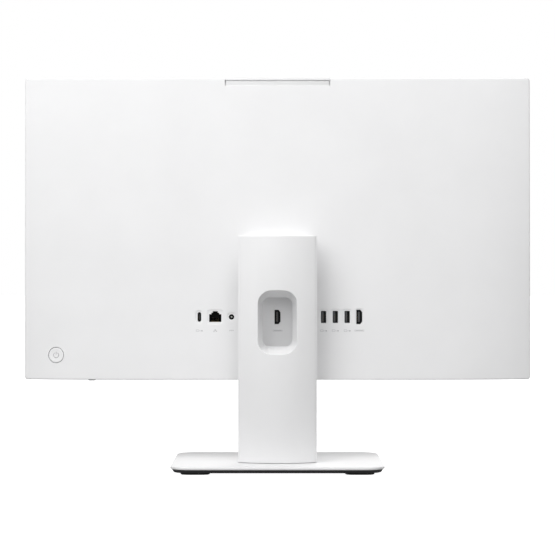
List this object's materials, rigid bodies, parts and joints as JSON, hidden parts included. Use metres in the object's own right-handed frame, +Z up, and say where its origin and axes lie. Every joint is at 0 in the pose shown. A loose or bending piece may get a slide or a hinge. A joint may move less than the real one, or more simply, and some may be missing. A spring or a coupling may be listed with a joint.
{
  "type": "all-in-one computer",
  "caption": "All-in-one desktop computer: crowned white back with a row of ports, pop-up camera, tilting hinge, crowned column with a cable funnel and a rounded base plate.",
  "frame": {"origin": "on the desk, under the centre of the base plate", "axes": "+Z up, the screen faces -Y, +X to the right of a person who looks at the screen"},
  "size_m": [0.54, 0.185, 0.4153],
  "materials": {
    "white_shell": "fine textured white plastic",
    "white_paint": "satin white paint",
    "dark_plastic": "matt black plastic",
    "socket": "black connector body with a plated shell",
    "rubber": "matt rubber",
    "steel": "zinc-plated sheet steel",
    "screen": "dark display glass",
    "acrylic": "clear acrylic",
    "aluminium": "plain aluminium",
    "copper": "bare copper",
    "circuit_board": "green solder resist",
    "chip": "dark chip package"
  },
  "bodies": {
    "stand": {"base_plate": "white_paint", "base_underside": "dark_plastic", "rubber_foot_front_left": "rubber", "rubber_foot_front_right": "rubber", "rubber_foot_rear_left": "rubber", "rubber_foot_rear_right": "rubber", "base_thumbscrew": "steel", "column_rear_cover": "white_shell", "column_front_cover": "white_shell", "column_spine": "steel", "hinge_column_bracket": "steel", "hinge_shaft": "steel", "hinge_nut_left": "steel", "hinge_nut_right": "steel"},
    "display": {"rear_cover": "white_shell", "front_frame": "white_shell", "lcd_glass": "screen", "backlight_tray": "aluminium", "light_guide": "acrylic", "led_strip": "circuit_board", "timing_board": "circuit_board", "chassis": "steel", "hinge_display_bracket": "steel", "hinge_screw_low_left": "steel", "hinge_screw_low_right": "steel", "hinge_screw_high_left": "steel", "hinge_screw_high_right": "steel", "hinge_collar": "white_shell", "usb_c_port": "socket", "network_port": "socket", "power_inlet": "socket", "video_port_middle": "socket", "usb_a_port_1": "socket", "usb_a_port_2": "socket", "usb_a_port_3": "socket", "video_port_side": "socket", "headset_jack": "socket", "motherboard": "circuit_board", "processor": "chip", "memory_card_lower": "circuit_board", "memory_card_upper": "circuit_board", "solid_state_drive": "circuit_board", "wireless_card": "circuit_board", "clock_battery": "steel", "heat_spreader": "copper", "heat_pipe": "copper", "fin_stack": "aluminium", "blower_housing": "dark_plastic", "speaker_left": "dark_plastic", "speaker_right": "dark_plastic", "aerial_left": "copper", "aerial_right": "copper", "camera_guide": "dark_plastic", "power_switch_board": "circuit_board"},
    "camera": {"camera_housing": "white_shell", "camera_window": "screen", "camera_board": "circuit_board", "camera_lens": "screen"},
    "button": {"power_button": "white_shell"},
    "fan": {"fan_rotor": "dark_plastic"}
  },
  "joints": [
    {"name": "screen_tilt", "type": "hinge", "parent": "stand", "child": "display", "pos_m": [0, 0.013, 0.226], "axis": [-1, 0, 0], "range_deg": [-5, 20]},
    {"name": "camera_rise", "type": "slide", "parent": "display", "child": "camera", "axis": [0, 0, 1], "range_m": [0, 0.024]},
    {"name": "power_press", "type": "slide", "parent": "display", "child": "button", "axis": [-0.1472, -0.9885, -0.0338], "range_m": [0, 0.001], "stiffness_N_per_m": 700, "springref_m": -0.0006},
    {"name": "fan_spin", "type": "hinge", "parent": "display", "child": "fan", "pos_m": [-0.12, -0.0133, 0.3053], "axis": [0, 1, 0], "continuous": true}
  ]
}
